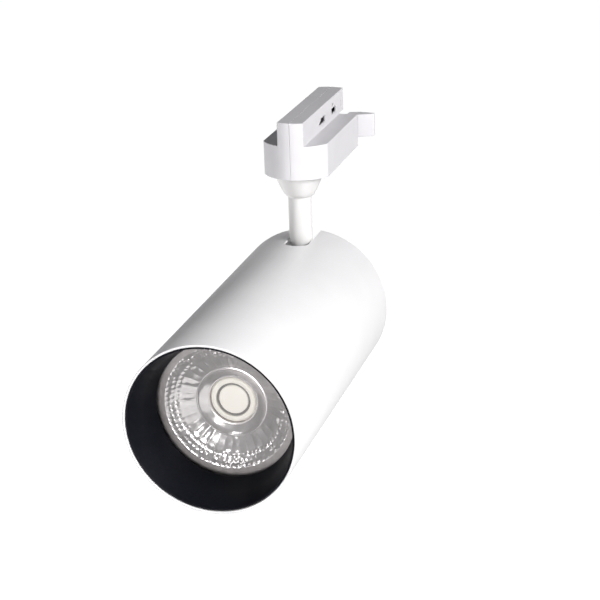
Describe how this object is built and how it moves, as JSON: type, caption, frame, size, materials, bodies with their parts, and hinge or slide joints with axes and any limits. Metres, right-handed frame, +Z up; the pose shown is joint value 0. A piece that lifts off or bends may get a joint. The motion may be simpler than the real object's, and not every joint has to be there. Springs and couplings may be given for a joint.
{
  "type": "track spotlight",
  "caption": "Cylindrical track spotlight with a deep black baffle and a faceted reflector; the head tilts on a stem that pans under a track adapter.",
  "frame": {"origin": "where the pan axis meets the plane of the adapter's shoulders, which sit against the underside of the track", "axes": "+Z up, into the track; +Y along the track, towards the lever end; the head points towards -Y at rest; +X is the side that the lever's tab stands out on"},
  "size_m": [0.09, 0.2397, 0.1602],
  "materials": {
    "white_paint": "fine white powder coat over aluminium",
    "white_plastic": "satin white moulded plastic",
    "black_plastic": "satin black, finely textured",
    "grey_plastic": "plain moulded grey",
    "steel": "zinc-plated steel",
    "bright_reflector": "bright vapour-coated, faceted",
    "clear_cover": "clear, polished",
    "copper": "bare copper",
    "cream_plastic": "satin cream",
    "led_face": "matt cream, unlit",
    "led_substrate": "matt white",
    "soft_pad": "soft grey",
    "sink_aluminium": "as cast",
    "circuit_green": "solder mask",
    "brown_sheath": "smooth soft sheath",
    "blue_sheath": "smooth soft sheath",
    "red_sheath": "smooth soft sheath",
    "winding_cover": "wound and taped"
  },
  "bodies": {
    "adapter": {"shell_left": "white_plastic", "shell_right": "white_plastic", "shell_screw_near": "steel", "shell_screw_middle": "steel", "shell_screw_far": "steel", "shell_screw_block": "steel", "terminal_block": "cream_plastic", "pan_bush": "grey_plastic"},
    "lever": {"lock_lever": "white_plastic", "locking_claw": "steel"},
    "link": {"link_bar": "grey_plastic"},
    "contacts": {"contact_rotor": "grey_plastic", "contact_live": "copper", "contact_neutral": "copper"},
    "stem": {"stem": "white_paint", "swivel_collar": "white_paint", "pan_washer": "steel", "pan_nut": "steel", "lead_live": "brown_sheath", "lead_neutral": "blue_sheath"},
    "head": {"housing_tube": "white_paint", "rear_cap": "white_paint", "baffle": "black_plastic", "driver_case": "black_plastic", "driver_lid": "black_plastic", "led_lead_minus": "black_plastic", "tilt_washer_left": "grey_plastic", "tilt_washer_right": "grey_plastic", "driver_capacitor": "grey_plastic", "bulkhead": "steel", "tilt_bolt": "steel", "tilt_nut": "steel", "spacer_left": "steel", "spacer_right": "steel", "cap_screw_left": "steel", "cap_screw_right": "steel", "tube_screw_left": "steel", "tube_screw_right": "steel", "holder_screw_left": "steel", "holder_screw_right": "steel", "reflector": "bright_reflector", "cover_glass": "clear_cover", "led_lead_plus": "red_sheath", "led_holder": "cream_plastic", "led_disc": "led_face", "led_board": "led_substrate", "thermal_pad": "soft_pad", "grommet": "soft_pad", "heat_sink": "sink_aluminium", "driver_board": "circuit_green", "driver_transformer": "winding_cover"}
  },
  "joints": [
    {"name": "pan", "type": "hinge", "parent": "adapter", "child": "stem", "pos_m": [0, 0, -0.0195], "axis": [0, 0, 1], "range_deg": [-175, 175]},
    {"name": "tilt", "type": "hinge", "parent": "stem", "child": "head", "pos_m": [0, 0, -0.102], "axis": [1, 0, 0], "range_deg": [-10, 90]},
    {"name": "lever_turn", "type": "hinge", "parent": "adapter", "child": "lever", "pos_m": [0, 0.0526, 0], "axis": [0, 0, 1], "range_deg": [0, 90]},
    {"name": "contact_turn", "type": "hinge", "parent": "adapter", "child": "contacts", "pos_m": [0, 0.0295, 0], "axis": [0, 0, 1], "range_deg": [0, 90]},
    {"name": "link_turn", "type": "hinge", "parent": "lever", "child": "link", "pos_m": [-0.008, 0.0526, -0.0155], "axis": [0, 0, 1], "range_deg": [-90, 0]}
  ],
  "couplings": [
    {"joint": "contact_turn", "follows": "lever_turn", "ratio": 1},
    {"joint": "link_turn", "follows": "lever_turn", "ratio": -1}
  ]
}
